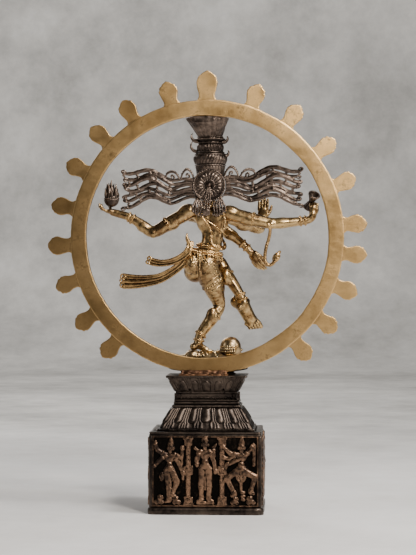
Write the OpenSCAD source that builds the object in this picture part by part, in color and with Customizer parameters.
// Brass dancing figure in a ring of flames, on a lotus pedestal and a hollow relief plinth.
// Millimetres. +Z is up, the figure faces -Y, and +X is the figure's own left side.
// The origin is on the floor, under the middle of the plinth.

/* [Plinth] */
// Width of the plinth's foot moulding
plinth_w = 236; // [232:1:244]
// Depth of the plinth's foot moulding
plinth_d = 190; // [186:1:200]
// Height of the plinth's foot moulding
plinth_h = 16; // [12:1:20]
// Width of the plinth box
box_w = 226; // [222:1:228]
// Depth of the plinth box
box_d = 178; // [174:1:180]
// Height of the plinth box, foot moulding included
box_h = 166; // [160:1:172]
// Wall of the plinth casting
wall = 9; // [8:0.5:11]
// Depth of the recess that holds each relief panel
recess = 5; // [4:0.5:6]

/* [Lotus pedestal] */
// Width of the lower lotus at its foot
skirt_w = 198; // [190:1:204]
// Width of the lower lotus at its top
skirt_top_w = 142; // [138:1:148]
// Width of the waist between the two lotuses
waist_w = 120; // [114:1:124]
// Width of the upper lotus at the deck
cup_w = 165; // [160:1:170]
// How much narrower the pedestal is front to back than side to side
depth_less = 52; // [46:1:56]
// Diameter of the rod that holds the stack together
rod_d = 10; // [8:1:12]

/* [Ring of flames] */
// Outer diameter of the ring
ring_od = 560; // [556:1:564]
// Width of the ring's flat band
ring_band = 32; // [28:1:34]
// Thickness of the ring, front to back
ring_t = 12; // [10:1:14]
// Length of a flame
flame_len = 48; // [40:1:54]
// Width of a flame
flame_w = 37; // [32:1:40]

/* [Figure] */
// Radius of the disc behind the head
disc_r = 34; // [30:1:36]
// Thickness of a lock of hair
lock_d = 5.2; // [4:0.2:6]
// Locks in each fan of hair
locks = 7; // [5:1:8]
// Thickness of the cloth over the body
cloth_t = 2; // [1.5:0.25:3]

/* [Hidden] */

// Heights of the stack
skirt_z = box_h;
skirt_h = 46;
moulding_z = skirt_z + skirt_h;
waist_z = moulding_z + 16;
cup_z = waist_z + 12;
cup_h = 37;
deck_z = cup_z + cup_h;
foot_plate_t = 3;
ring_z = deck_z + foot_plate_t + ring_od / 2;
ring_y = 24;
ring_ri = ring_od / 2 - ring_band;
dais_top = deck_z + 19;
shell = 6;
rod_clear = 0.6;
rod_y = -14;

// Flames, as turns away from the top: first down the figure's left side, then down its right side
left_flames = [19, 35.5, 53, 68.5, 85, 97, 111, 126, 140];
right_flames = [15, 32, 46.5, 62, 78, 93.5, 108.5, 124.5, 139];
top_flame_len = 60;
top_flame_w = 43;

// Key points of the figure: [x, y, z, radius]
arm_bl = [[36, -8, 613, 15], [74, -4, 592, 14], [112, -2, 571, 12.5], [138, -3, 587, 10.5],
    [162, -4, 601, 8.5], [186, -5, 609, 9], [206, -5, 614, 8.5]];
arm_br = [[-40, -8, 609, 15], [-84, -4, 598, 14], [-131, -2, 588, 11.5], [-170, -3, 590, 10],
    [-204, -4, 594, 8], [-217, -5, 606, 9.5], [-221, -6, 622, 9]];
arm_fl = [[36, -24, 607, 14], [8, -48, 598, 13], [-22, -64, 586, 11.5], [-50, -67, 563, 10],
    [-77, -67, 541, 8], [-88, -66, 529, 9], [-100, -64, 513, 9]];
arm_fr = [[-40, -24, 603, 14], [-72, -42, 591, 13], [-103, -56, 579, 11.5], [-109, -70, 592, 9.5],
    [-112, -78, 605, 8], [-113, -80, 617, 9.5], [-114, -80, 627, 10]];
leg_st = [[1, -14, 484, 24], [-12, -27, 452, 19.5], [-22, -38, 420, 13], [-14, -32, 401, 13.5],
    [3, -24, 377, 12.5], [17, -18, 356, 9.5], [20, -16, 341, 9]];
leg_ra = [[26, -20, 490, 24], [3, -52, 504, 19], [-19, -70, 510, 14], [-34, -68, 486, 13.5],
    [-53, -62, 456, 11.5], [-67, -58, 432, 9], [-70, -56, 425, 9]];
neck_low = [-3, -17, 624];
head_at = [-3, -24, 662];
disc_at = [-3.5, 4, 666];
crown_at = [-5, -17, 0];
crown_z = [683, 764];

// ---- shared shapes ----

// One length of limb between two [x, y, z, radius] points
module bone(a, b, grow = 0, fn = 12) {
    hull() {
        translate([a[0], a[1], a[2]]) sphere(r = a[3] + grow, $fn = fn);
        translate([b[0], b[1], b[2]]) sphere(r = b[3] + grow, $fn = fn);
    }
}

// A chain of lengths of limb
module chain(points, grow = 0, fn = 12) {
    for (i = [0 : len(points) - 2]) bone(points[i], points[i + 1], grow, fn);
}

// An ellipsoid
module egg(at, size, fn = 16) {
    translate(at) scale(size) sphere(r = 1, $fn = fn);
}

// Turns a shape's +Z to point from a towards b, standing on point at
module aim(at, a, b) {
    d = [b[0] - a[0], b[1] - a[1], b[2] - a[2]];
    translate([at[0], at[1], at[2]])
        rotate([0, acos(d[2] / norm(d)), atan2(d[1], d[0])]) children();
}

// A point between two chain points
function between(a, b, t) = a + (b - a) * t;

// A round band on a limb, t of the way from chain point a to chain point b
module band(a, b, t, h, thick) {
    p = between(a, b, t);
    slope = abs(b[3] - a[3]) / norm([b[0] - a[0], b[1] - a[1], b[2] - a[2]]);
    bore = p[3] + slope * h / 2 + 0.3;
    aim(p, a, b)
        rotate_extrude($fn = 48)
            translate([bore, -h / 2]) {
                square([thick, h]);
                translate([thick, h / 2]) circle(r = h * 0.3, $fn = 24);
            }
}

// Four fingers that start side by side along across and bend at bend, then a thumb
module fingers(root, across, bend, tip, r, thumb) {
    for (i = [0 : 3]) {
        side = across * (i - 1.5) * 2;
        reach = i == 1 || i == 2 ? 1 : 0.88;
        k = root + side;
        chain([[k[0], k[1], k[2], r],
            [k[0] + bend[0] * reach, k[1] + bend[1] * reach, k[2] + bend[2] * reach, r * 0.92],
            [k[0] + tip[0] * reach, k[1] + tip[1] * reach, k[2] + tip[2] * reach, r * 0.75]], 0, 6);
    }
    chain(thumb, 0, 6);
}

// A pyramid with its point cut off: w by d at the bottom, w2 by d2 at the top
module frustum(w, d, w2, d2, h) {
    polyhedron(
        points = [[-w / 2, -d / 2, 0], [w / 2, -d / 2, 0], [w / 2, d / 2, 0], [-w / 2, d / 2, 0],
            [-w2 / 2, -d2 / 2, h], [w2 / 2, -d2 / 2, h], [w2 / 2, d2 / 2, h], [-w2 / 2, d2 / 2, h]],
        faces = [[0, 1, 2, 3], [7, 6, 5, 4], [0, 4, 5, 1], [1, 5, 6, 2], [2, 6, 7, 3], [3, 7, 4, 0]]);
}

// A block of full depth-less proportions, centred on the axis
module slab(w, h) {
    translate([-w / 2, -(w - depth_less) / 2, 0]) cube([w, w - depth_less, h]);
}

// ---- plinth ----

corner_r = 9;

module rounded_slab(w, d, h, r) {
    translate([-w / 2 + r, -d / 2, 0]) cube([w - 2 * r, d, h]);
    translate([-w / 2, -d / 2 + r, 0]) cube([w, d - 2 * r, h]);
    for (x = [-1, 1], y = [-1, 1])
        translate([x * (w / 2 - r), y * (d / 2 - r), 0]) cylinder(r = r, h = h, $fn = 48);
}

panel_z = plinth_h;
panel_h = box_h - plinth_h - 8;
panel_wide = box_w - 12;
panel_deep = box_d - 12;

module plinth_box() color("#33302c") difference() {
    union() {
        rounded_slab(plinth_w, plinth_d, plinth_h, corner_r);
        translate([-box_w / 2, -box_d / 2, 0]) cube([box_w, box_d, box_h]);
    }
    translate([-box_w / 2 + wall, -box_d / 2 + wall, -1])
        cube([box_w - 2 * wall, box_d - 2 * wall, box_h - wall + 1]);
    for (y = [-1, 1])
        translate([-panel_wide / 2, y * (box_d / 2) - recess, panel_z])
            cube([panel_wide, 2 * recess, panel_h]);
    for (x = [-1, 1])
        translate([x * (box_w / 2) - recess, -panel_deep / 2, panel_z])
            cube([2 * recess, panel_deep, panel_h]);
    translate([0, rod_y, box_h - wall - 1]) cylinder(d = rod_d + rod_clear, h = wall + 2, $fn = 48);
}

relief_out = 3;

// A standing figure in low relief, drawn on the XZ plane and rising towards -Y
module relief_figure(h) {
    translate([0, 1, h * 0.88]) rotate([90, 0, 0]) cylinder(r = h * 0.075, h = relief_out + 1, $fn = 32);
    translate([-h * 0.09, -relief_out, h * 0.5]) cube([h * 0.18, relief_out + 1, h * 0.3]);
    translate([-h * 0.13, -relief_out, h * 0.38]) cube([h * 0.26, relief_out + 1, h * 0.12]);
    for (s = [-1, 1]) {
        translate([s * h * 0.08 - h * 0.04, -relief_out, 0]) cube([h * 0.08, relief_out + 1, h * 0.4]);
        translate([s * h * 0.19 - h * 0.03, -relief_out, h * 0.42])
            cube([h * 0.06, relief_out + 1, h * 0.36]);
    }
}

// A pillar with a square boss half way up
module relief_pillar(h) {
    translate([-2.5, -relief_out, 0]) cube([5, relief_out + 1, h]);
    for (z = [0, h * 0.45, h - 11])
        translate([-6, -relief_out - 0.5, z]) cube([12, relief_out + 1.5, 11]);
}

// A relief panel on the XZ plane, facing -Y, with figures and the pillars between them
module relief_panel(w, figures) color("#4a382a") {
    pitch = (w - 8) / figures;
    difference() {
        translate([-w / 2 + 0.2, 0, 0.2]) cube([w - 0.4, recess, panel_h - 0.4]);
        translate([-w / 2 + 4, -1, 4]) cube([w - 8, 2.5, panel_h - 8]);
    }
    for (i = [0 : figures - 1])
        translate([(i - (figures - 1) / 2) * pitch, 1.5, 5]) relief_figure(panel_h - 14);
    for (i = [1 : figures - 1])
        translate([(i - figures / 2) * pitch, 1.5, 5]) relief_pillar(panel_h - 10);
}

module relief_panel_front() translate([0, -box_d / 2, panel_z]) relief_panel(panel_wide, 3);
module relief_panel_back() translate([0, box_d / 2, panel_z]) rotate(180) relief_panel(panel_wide, 3);
module relief_panel_left() translate([box_w / 2, 0, panel_z]) rotate(90) relief_panel(panel_deep, 2);
module relief_panel_right() translate([-box_w / 2, 0, panel_z]) rotate(-90) relief_panel(panel_deep, 2);

// ---- lotus pedestal ----

module lotus_skirt() color("#3a3532") translate([0, 0, skirt_z]) difference() {
    union() {
        slab(skirt_w, 5);
        translate([0, 0, 5])
            frustum(skirt_w - 2, skirt_w - depth_less - 2, skirt_top_w, skirt_top_w - depth_less, skirt_h - 5);
    }
    translate([0, 0, -1])
        frustum(skirt_w - 2 * shell, skirt_w - depth_less - 2 * shell,
            skirt_top_w - 2 * shell, skirt_top_w - depth_less - 2 * shell, skirt_h - shell + 1);
    translate([0, rod_y, 0]) cylinder(d = rod_d + rod_clear, h = skirt_h + 1, $fn = 48);
}

module waist_moulding() color("#34302e") difference() {
    translate([0, 0, moulding_z]) {
        slab(skirt_top_w, 5);
        translate([0, 0, 5]) slab(skirt_top_w - 8, 6);
        translate([0, 0, 11]) slab(waist_w + 4, 5);
        translate([0, 0, 16]) slab(waist_w, 12);
    }
    translate([0, rod_y, moulding_z - 1]) cylinder(d = rod_d + rod_clear, h = 40, $fn = 48);
}

ring_screw_x = 34;
ring_screw_d = 5;
ring_screw_z = cup_z + cup_h - shell;

module lotus_cup() color("#33302e") difference() {
    union() {
        translate([0, 0, cup_z])
            frustum(waist_w + 6, waist_w + 6 - depth_less, cup_w, cup_w - depth_less, cup_h - 3);
        translate([0, 0, deck_z - 3]) slab(cup_w, 3);
    }
    translate([0, 0, cup_z - 0.01])
        frustum(waist_w - 6, waist_w - 6 - depth_less, cup_w - 14, cup_w - 14 - depth_less, cup_h - shell);
    translate([0, rod_y, cup_z]) cylinder(d = rod_d + rod_clear, h = cup_h + 1, $fn = 48);
    for (x = [-1, 1])
        translate([x * ring_screw_x, ring_y + 14, cup_z])
            cylinder(d = ring_screw_d + 0.4, h = cup_h + 1, $fn = 32);
}

// ---- the rod that holds the stack ----

rod_low = box_h - wall - 22;
rod_high = dais_top - 6;
washer_t = 3;
nut_h = 8;

module tie_rod() color("silver") translate([0, rod_y, rod_low])
    cylinder(d = rod_d, h = rod_high - rod_low, $fn = 48);

module tie_washer() color("silver") translate([0, rod_y, box_h - wall - washer_t]) difference() {
    cylinder(d = rod_d * 2.6, h = washer_t, $fn = 48);
    translate([0, 0, -1]) cylinder(d = rod_d + rod_clear, h = washer_t + 2, $fn = 48);
}

module tie_nut() color("silver") translate([0, rod_y, box_h - wall - washer_t - nut_h]) difference() {
    cylinder(d = rod_d * 1.9, h = nut_h, $fn = 6);
    translate([0, 0, -1]) cylinder(d = rod_d, h = nut_h + 2, $fn = 48);
}

// ---- ring of flames ----

module turn_in_ring() translate([0, ring_y, ring_z]) rotate([90, 0, 0]) children();

module flame_ring() color("#b8955a") turn_in_ring() difference() {
    cylinder(d = ring_od, h = ring_t, center = true, $fn = 180);
    cylinder(r = ring_ri, h = ring_t + 2, center = true, $fn = 180);
}

// Half outline of a flame as shares of its width and length
flame_half = [[0.3, 0], [0.28, 0.14], [0.4, 0.26], [0.49, 0.42], [0.5, 0.56], [0.42, 0.74],
    [0.3, 0.86], [0.16, 0.95], [0, 1]];

module flame(l, w) {
    right = [for (p = flame_half) [p[0] * w, p[1] * l]];
    left = [for (i = [len(flame_half) - 2 : -1 : 0]) [-flame_half[i][0] * w, flame_half[i][1] * l]];
    polygon(concat([[0.3 * w, -6]], right, left, [[-0.3 * w, -6]]));
}

module ring_flames() color("#b8955a") turn_in_ring() difference() {
    union() {
        translate([0, 0, -ring_t / 2]) linear_extrude(ring_t)
            translate([0, ring_od / 2]) flame(top_flame_len, top_flame_w);
        for (a = concat(-left_flames, right_flames))
            rotate(a) translate([0, 0, -ring_t / 2 + 1.5]) linear_extrude(ring_t - 3)
                translate([0, ring_od / 2]) flame(flame_len, flame_w);
    }
    cylinder(d = ring_od, h = ring_t + 2, center = true, $fn = 180);
}

foot_w = 100;
foot_x = 6;
foot_cheek = 4;

module ring_foot() color("#7a5236") difference() {
    union() {
        translate([foot_x - foot_w / 2, ring_y - ring_t / 2 - foot_cheek, deck_z])
            cube([foot_w, (cup_w - depth_less) / 2 - ring_y + ring_t / 2 + foot_cheek, foot_plate_t]);
        translate([foot_x - foot_w / 2, ring_y - ring_t / 2 - foot_cheek, deck_z])
            cube([foot_w, ring_t + 2 * foot_cheek, 9]);
    }
    translate([0, ring_y, ring_z]) rotate([90, 0, 0])
        cylinder(d = ring_od, h = ring_t + 0.1, center = true, $fn = 180);
    for (x = [-1, 1])
        translate([x * ring_screw_x, ring_y + 14, deck_z - 1])
            cylinder(d = ring_screw_d, h = foot_plate_t + 2, $fn = 32);
}

module ring_screws() color("silver")
    for (x = [-1, 1]) translate([x * ring_screw_x, ring_y + 14, ring_screw_z - 4]) {
        cylinder(d = ring_screw_d * 1.8, h = 4, $fn = 48);
        cylinder(d = ring_screw_d, h = shell + foot_plate_t + 4, $fn = 32);
    }

// ---- dais and dwarf ----

dais_y = -29;
dais_half_w = 84;
dais_half_d = 34;

module oval(rx, ry, h) scale([1, ry / rx, 1]) cylinder(r = rx, h = h, $fn = 96);

module lotus_dais() color("#2f2b28") difference() {
    translate([0, dais_y, deck_z]) {
        oval(58, 26, 4);
        hull() {
            translate([0, 0, 3]) oval(54, 24, 1);
            translate([0, 0, 9]) oval(dais_half_w, dais_half_d, 2);
        }
        translate([0, 0, 10]) oval(dais_half_w - 5, dais_half_d - 4, dais_top - deck_z - 10);
    }
    translate([0, rod_y, deck_z - 1]) cylinder(d = rod_d, h = rod_high - deck_z + 1, $fn = 48);
    translate([0, 0, deck_z - 1]) foot_clearance();
}

// Room for the front cheek of the ring's foot behind the dais
module foot_clearance() translate([foot_x - foot_w / 2 - 1, ring_y - ring_t / 2 - foot_cheek - 0.2, 0])
    cube([foot_w + 2, 30, 14]);

tenon = [[6, -20, 326, 4], [6, -20, 314, 4]];

module dwarf_raw() {
    chain([[-32, -20, 315, 14], [-8, -24, 310, 13.5], [16, -25, 310, 13], [36, -25, 311, 14.5]], 0, 14);
    egg([-48, -14, 331], [18, 18, 20], 16);
    bone([-38, -18, 320, 12], [-46, -15, 326, 13]);
    chain([[36, -31, 310, 10], [57, -42, 307, 8.5], [72, -34, 304, 6]], 0, 10);
    chain([[36, -19, 309, 10], [58, -12, 307, 8.5], [71, -22, 304, 6]], 0, 10);
    chain([[-32, -32, 311, 8], [-44, -46, 306, 6.5], [-62, -44, 302, 5], [-68, -38, 301, 5]], 0, 8);
    chain([[-30, -8, 311, 7], [-42, -3, 305, 5.5], [-60, -4, 301, 4.5]], 0, 8);
    egg([-66, -16, 329], [5, 5, 5], 10);
}

module dwarf() color("#8a6a3c") difference() {
    intersection() {
        dwarf_raw();
        translate([-100, -100, dais_top]) cube([200, 200, 100]);
    }
    leg_standing_raw();
    translate([0, rod_y, rod_low]) cylinder(d = rod_d + 2, h = rod_high - rod_low + 0.5, $fn = 24);
}

// ---- body ----

module torso_raw(grow = 0) {
    hull() {
        egg([-4, -15, 603], [30 + grow, 19 + grow, 18 + grow]);
        egg([30, -15, 609], [15 + grow, 14 + grow, 13 + grow]);
        egg([-35, -15, 606], [15 + grow, 14 + grow, 13 + grow]);
    }
    hull() {
        egg([-4, -16, 600], [31 + grow, 20 + grow, 18 + grow]);
        egg([-6, -14, 570], [26 + grow, 17 + grow, 14 + grow]);
    }
    hull() {
        egg([-6, -14, 572], [25 + grow, 17 + grow, 12 + grow]);
        egg([-5, -13, 548], [23 + grow, 16 + grow, 10 + grow]);
    }
    hull() {
        egg([-5, -13, 550], [23 + grow, 16 + grow, 9 + grow]);
        egg([7, -14, 522], [32 + grow, 21 + grow, 14 + grow]);
    }
    hull() {
        egg([7, -14, 522], [32 + grow, 21 + grow, 13 + grow]);
        egg([15, -12, 500], [34 + grow, 22 + grow, 15 + grow]);
    }
    bone([2, -3, 502, 19], [6, -5, 520, 16], grow);
    bone([29, -3, 502, 19], [22, -5, 520, 16], grow);
    bone([-3, -17, 610, 14], [neck_low[0], neck_low[1], neck_low[2], 12], grow);
    bone([-3, -17, 624, 11], [-3, -19, 640, 10], grow);
}

module limbs_raw() {
    chain(arm_bl);
    chain(arm_br);
    chain(arm_fl);
    chain(arm_fr);
    chain(leg_st);
    chain(leg_ra);
}

module torso() color("#a8834a") difference() {
    torso_raw();
    limbs_raw();
}

module thigh_cloth(grow) {
    bone(leg_st[0], leg_st[1], grow);
    bone(leg_st[1], between(leg_st[1], leg_st[2], 0.12), grow);
    bone(leg_ra[0], leg_ra[1], grow);
    bone(leg_ra[1], between(leg_ra[1], leg_ra[2], 0.12), grow);
}

module kilt() color("#9a7640") difference() {
    union() {
        intersection() {
            torso_raw(cloth_t);
            translate([-100, -100, 440]) cube([200, 200, 92]);
        }
        thigh_cloth(cloth_t);
    }
    torso_raw();
    limbs_raw();
}

module waist_belt() color("#b8925a") difference() {
    translate([3, -13, 538]) rotate([0, 9, 0]) {
        scale([1, 0.72, 1]) rotate_extrude($fn = 40) translate([29, 0]) square([5, 6], center = true);
        translate([1, 0, -9]) scale([1, 0.72, 1])
            rotate_extrude($fn = 40) translate([33, 0]) square([5, 5], center = true);
    }
    torso_raw();
    limbs_raw();
    translate([-100, -100, 440]) cube([200, 200, 92]);
}

thread_path = [[26, -6, 618, 2.5], [20, -32, 612, 2.5], [6, -38, 596, 2.5], [-14, -36, 576, 2.5],
    [-30, -24, 560, 2.5], [-32, -8, 556, 2.5], [-22, 4, 562, 2.5], [-2, 6, 584, 2.5], [16, 3, 604, 2.5],
    [26, -6, 618, 2.5]];

module sacred_thread() color("#c19a5c") difference() {
    chain(thread_path, 0, 8);
    torso_raw();
    limbs_raw();
    necklace_raw();
}

module necklace_raw() translate([-3, -19, 626]) rotate([18, 0, 0]) {
    scale([1, 0.95, 1]) rotate_extrude($fn = 40) translate([18, 0]) circle(r = 3.4, $fn = 12);
    translate([0, -5, -8]) scale([1, 0.85, 1])
        rotate_extrude($fn = 40) translate([24, 0]) circle(r = 2.6, $fn = 12);
}

module necklace() color("#c19a5c") difference() {
    necklace_raw();
    torso_raw();
    limbs_raw();
}

// ---- head ----

module head_raw() {
    egg(head_at, [18, 21, 24], 24);
    egg([-3, -29, 650], [13, 14, 12], 20);
    for (s = [-1, 1]) bone([-3 + s * 17, -21, 664, 4.5], [-3 + s * 17, -20, 650, 3.5], 0, 10);
    bone([-3, -45, 664, 1.8], [-3, -47.5, 656, 2.8], 0, 8);
    bone([-9, -41, 668, 2.2], [-13, -39, 667, 1.6], 0, 8);
    bone([3, -41, 668, 2.2], [7, -39, 667, 1.6], 0, 8);
    bone([-6, -43.5, 649, 1.6], [0, -43.5, 649, 1.6], 0, 8);
    bone([-3, -41.5, 641, 3], [-3, -40, 640, 3.4], 0, 8);
    bone([-3, -14, 676, 17], [-3, -17, 682, 16], 0, 14);
}

module head() color("#a8834a") difference() {
    head_raw();
    torso_raw();
    head_disc();
    translate([-100, -100, crown_z[0]]) cube([200, 200, 100]);
}

module earrings() color("#c19a5c")
    for (s = [-1, 1]) translate([-3 + s * 23, -20, 642]) rotate([0, 90, 0])
        rotate_extrude($fn = 48) translate([6.5, 0]) circle(r = 2, $fn = 24);

module head_disc() color("#4c4744") translate(disc_at) rotate([-90, 0, 0]) {
    cylinder(r = disc_r - 2, h = 4, $fn = 96);
    rotate_extrude($fn = 96) translate([disc_r - 2, 2.5]) circle(r = 2, $fn = 24);
    cylinder(r1 = 12, r2 = 9, h = 7, $fn = 64);
    translate([0, 0, 7]) cylinder(r1 = 9, r2 = 2.5, h = 8, $fn = 64);
    translate([0, 0, -6]) cylinder(r = 8, h = 6, $fn = 48);
}

module disc_tassel() color("#4c4744") difference() {
    for (s = [-1, 0, 1])
        chain([[-3.5 + s * 3, 17, 652, 2], [-1 + s * 4, 13.5, 634, 2], [1 + s * 5, 10, 622, 2],
            [5 + s * 3, 8, 606, 2]], 0, 8);
    translate([0, 0, 0]) head_disc();
    torso_raw();
}

crown_side = [[0, 0], [24, 0], [26, 6], [25, 10], [29, 14], [31, 22], [30, 30], [28, 34], [29, 40],
    [28, 47], [26.5, 56], [28, 62], [27, 68], [29, 74], [28, 81], [0, 81]];

module crown() color("#3d3937") difference() {
    translate([crown_at[0], crown_at[1], crown_z[0]]) rotate_extrude($fn = 72) polygon(crown_side);
    translate(disc_at) rotate([-90, 0, 0]) translate([0, 0, -0.2])
        cylinder(r = disc_r + 0.3, h = 30, $fn = 96);
}

module crown_crest() color("#3d3937") intersection() {
    union() {
        hull() {
            translate([crown_at[0], crown_at[1], crown_z[1]]) oval(28, 26, 1);
            translate([1, 3, ring_z + ring_ri - 10]) oval(44, 21, 14);
        }
        translate([-5, -17, crown_z[1]]) cylinder(r = 30, h = 4, $fn = 64);
    }
    turn_in_ring() cylinder(r = ring_ri, h = 200, center = true, $fn = 180);
}

// ---- hair ----

// One lock of hair: n counts upwards, s is the side, far is how far it reaches, t runs from 0 to 1
function lock_point(n, s, far, t) = let(
    up = n / (locks - 1),
    mean = 642 + (s < 0 ? 5 : 0) + up * 34 + t * (up * 38 - 14),
    swell = min(1, t * 3.5) * 8.5,
    tip = t > 0.93 ? 3 : 0)
    [s * (26 + t * far) - 3, 1, mean + swell * cos(360 * (t - 0.62) / 0.6) + tip,
        lock_d / 2 * (1.05 - 0.35 * t)];

module lock(n, s, far) {
    steps = 11;
    for (i = [0 : steps - 1])
        bone(lock_point(n, s, far, i / steps), lock_point(n, s, far, (i + 1) / steps), 0, 6);
}

// A short link that ties a lock to the one above it
module link(n, s, far, t) {
    a = lock_point(n, s, far, t);
    b = lock_point(n + 1, s, far, t);
    bone([a[0], a[1], a[2], 1.6], [b[0], b[1], b[2], 1.6], 0, 6);
}

module hair_fan(s, far) color("#45403e") difference() {
    union() {
        for (n = [0 : locks - 1]) lock(n, s, far);
        for (n = [0 : locks - 2]) {
            link(n, s, far, 0.42 + 0.06 * (n % 2));
            link(n, s, far, 0.66 + 0.06 * (n % 2));
            link(n, s, far, 0.86 + 0.05 * (n % 2));
        }
        hull() {
            translate([s * 22 - 3, 1, 659]) cube([8, 5.4, 36], center = true);
            translate([s * 34 - 3, 1, 659]) cube([8, 4.4, 38], center = true);
        }
    }
    head_disc();
    head_raw();
}

module hair_fan_left() hair_fan(1, 148);
module hair_fan_right() hair_fan(-1, 168);

// ---- arms ----

module arm_back_left() color("#a8834a") {
    chain(arm_bl);
    fingers([210, -5, 615], [0, 2.7, 0], [9, 0, 4], [14, 0, 14], 2.9,
        [[198, -14, 613, 3.4], [206, -18, 621, 3], [209, -16, 628, 2.4]]);
}

module arm_back_right() color("#a8834a") difference() {
    union() {
        chain(arm_br);
        fingers([-222, -8, 628], [1.1, -2.5, 0], [2, -4, 10], [8, -8, 14], 2.9,
            [[-212, -6, 612, 3.4], [-204, -8, 620, 3], [-203, -10, 628, 2.4]]);
    }
    drum_raw();
}

module arm_front_left() color("#9a7840") difference() {
    union() {
        chain(arm_fl);
        fingers([-103, -63, 508], [1.9, -1, 1.7], [-8, 0, -12], [-11, 0, -25], 2.9,
            [[-92, -70, 520, 3.4], [-92, -75, 508, 3], [-92, -76, 499, 2.4]]);
    }
    chain(arm_bl);
}

module arm_front_right() color("#b08c50") difference() {
    union() {
        chain(arm_fr);
        fingers([-114, -80, 632], [2.8, 0, 0], [0, 0.5, 12], [0, 2, 21], 2.9,
            [[-104, -82, 616, 3.6], [-97, -84, 626, 3], [-95, -84, 634, 2.4]]);
    }
    chain(arm_br);
}

module armlets() color("#c19a5c") {
    band(arm_bl[1], arm_bl[2], 0.2, 8, 1.8);
    band(arm_br[1], arm_br[2], 0.15, 8, 1.8);
    band(arm_fl[1], arm_fl[2], 0.1, 7, 1.6);
    band(arm_fr[1], arm_fr[2], 0.15, 7, 1.6);
}

module bracelets() color("#c19a5c") {
    band(arm_bl[3], arm_bl[4], 0.75, 9, 1.8);
    band(arm_br[3], arm_br[4], 0.8, 9, 1.8);
    band(arm_fl[3], arm_fl[4], 0.8, 9, 1.8);
    band(arm_fr[3], arm_fr[4], 0.55, 7, 1.6);
}

// ---- what the hands hold ----

module flame_bowl() color("#5a4228") difference() {
    union() {
        intersection() {
            egg([199, -6, 637], [16, 14, 16], 16);
            translate([150, -50, 600]) cube([100, 100, 40]);
        }
        for (i = [-2 : 2])
            chain([[199 + i * 5, -6 + (i % 2) * 4, 640, 5], [199 + i * 6.5, -6, 652, 4],
                [199 + i * 5.5, -6, 669 - abs(i) * 5, 1.2]], 0, 8);
    }
    arm_back_left();
}

drum_far = [-208, -26, 620];
drum_near = [-220, -4, 648];

module drum_raw() {
    length = norm(drum_near - drum_far);
    aim(drum_far, drum_far, drum_near) rotate_extrude($fn = 48)
        polygon([[0, 0], [12, 0], [12.4, 3], [11, 5], [5, length / 2], [11, length - 5],
            [12.4, length - 3], [12, length], [0, length]]);
}

module drum() color("#5f5148") drum_raw();

snake_path = [[-129, -6, 573, 2.6], [-127, -3, 566, 2.8], [-122, -1, 543, 2.8], [-118, -1, 520, 2.8],
    [-119, -1, 509, 2.8], [-126, -2, 503, 2.8], [-134, -2, 506, 3], [-140, -3, 516, 4.2],
    [-143, -4, 524, 4.6], [-148, -7, 529, 2.6]];

module snake() color("#9a7840") difference() {
    union() {
        chain(snake_path, 0, 8);
        aim([-130, -2, 588], arm_br[1], arm_br[2]) rotate_extrude($fn = 32)
            translate([12, -3]) square([2.6, 6]);
    }
    chain(arm_br);
}

// ---- legs ----

module leg_standing_raw() {
    chain(leg_st);
    chain([[24, -15, 335, 8.5], [18, -18, 334, 8.5], [2, -24, 331, 7.5], [-8, -28, 329, 7]], 0, 12);
    for (i = [0 : 4])
        bone([-8 + i * 1.5, -34 + i * 4, 328, 3.2], [-18 + i * 2, -38 + i * 4, 327, 2.8 - i * 0.15], 0, 6);
    bone(tenon[0], tenon[1], 0, 12);
}

module leg_standing() color("#a8834a") leg_standing_raw();

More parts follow.
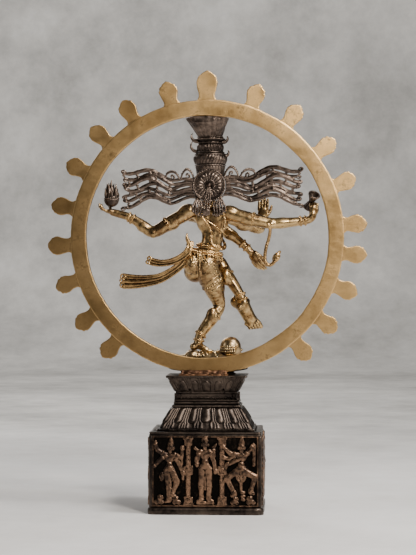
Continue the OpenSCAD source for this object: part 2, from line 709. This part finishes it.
module leg_raised() color("#a8834a") difference() {
    union() {
        chain(leg_ra);
        chain([[-69, -50, 424, 9], [-74, -56, 418, 9], [-86, -60, 404, 8], [-95, -62, 394, 7]], 0, 12);
        for (i = [0 : 4])
            bone([-98 + i * 3.4, -62 - i * 1, 396 - i * 3.2, 3.2],
                [-106 + i * 3.2, -62 - i * 1, 387 - i * 3, 2.8 - i * 0.15], 0, 6);
    }
    chain(leg_st);
}

module anklets() color("#c19a5c") {
    band(leg_st[4], leg_st[5], 0.95, 6, 3.5);
    band(leg_st[5], leg_st[6], 0.62, 4, 2.4);
    band(leg_ra[4], leg_ra[5], 0.72, 6, 2.4);
}

module knee_bands() color("#c19a5c") {
    band(leg_st[3], leg_st[4], 0.12, 7, 1.6);
    band(leg_ra[3], leg_ra[4], 0.14, 6, 1.6);
}

// ---- flying sash ----

sash_u = [[34, 4, 548, 5.5], [38, 8, 532, 6.5], [54, 9, 517, 6.5], [74, 9, 508, 6.5], [94, 8, 505, 6.5],
    [112, 6, 507, 7], [122, 5, 511, 6.5]];
sash_l = [[42, 6, 520, 6], [52, 8, 504, 7], [72, 9, 488, 8], [98, 8, 474, 10], [126, 6, 469, 12],
    [148, 5, 469, 14], [166, 4, 469, 15]];

module sash(points) {
    for (i = [0 : len(points) - 2]) hull() for (p = [points[i], points[i + 1]], s = [-1, 1])
        translate([p[0], p[1], p[2] + s * (p[3] - 3.2)]) sphere(r = 3.2, $fn = 10);
}

module sash_upper() color("#a8834a") difference() {
    sash(sash_u);
    torso_raw(cloth_t);
    thigh_cloth(cloth_t);
    sash(sash_l);
    waist_belt();
}

module sash_lower() color("#a8834a") difference() {
    sash(sash_l);
    torso_raw(cloth_t);
    thigh_cloth(cloth_t);
}

plinth_box();
relief_panel_front();
relief_panel_back();
relief_panel_left();
relief_panel_right();
lotus_skirt();
waist_moulding();
lotus_cup();
tie_rod();
tie_washer();
tie_nut();
ring_foot();
ring_screws();
flame_ring();
ring_flames();
lotus_dais();
dwarf();
torso();
kilt();
waist_belt();
sacred_thread();
necklace();
head();
earrings();
head_disc();
disc_tassel();
crown();
crown_crest();
hair_fan_left();
hair_fan_right();
arm_back_left();
arm_back_right();
arm_front_left();
arm_front_right();
armlets();
bracelets();
flame_bowl();
drum();
snake();
leg_standing();
leg_raised();
anklets();
knee_bands();
sash_upper();
sash_lower();
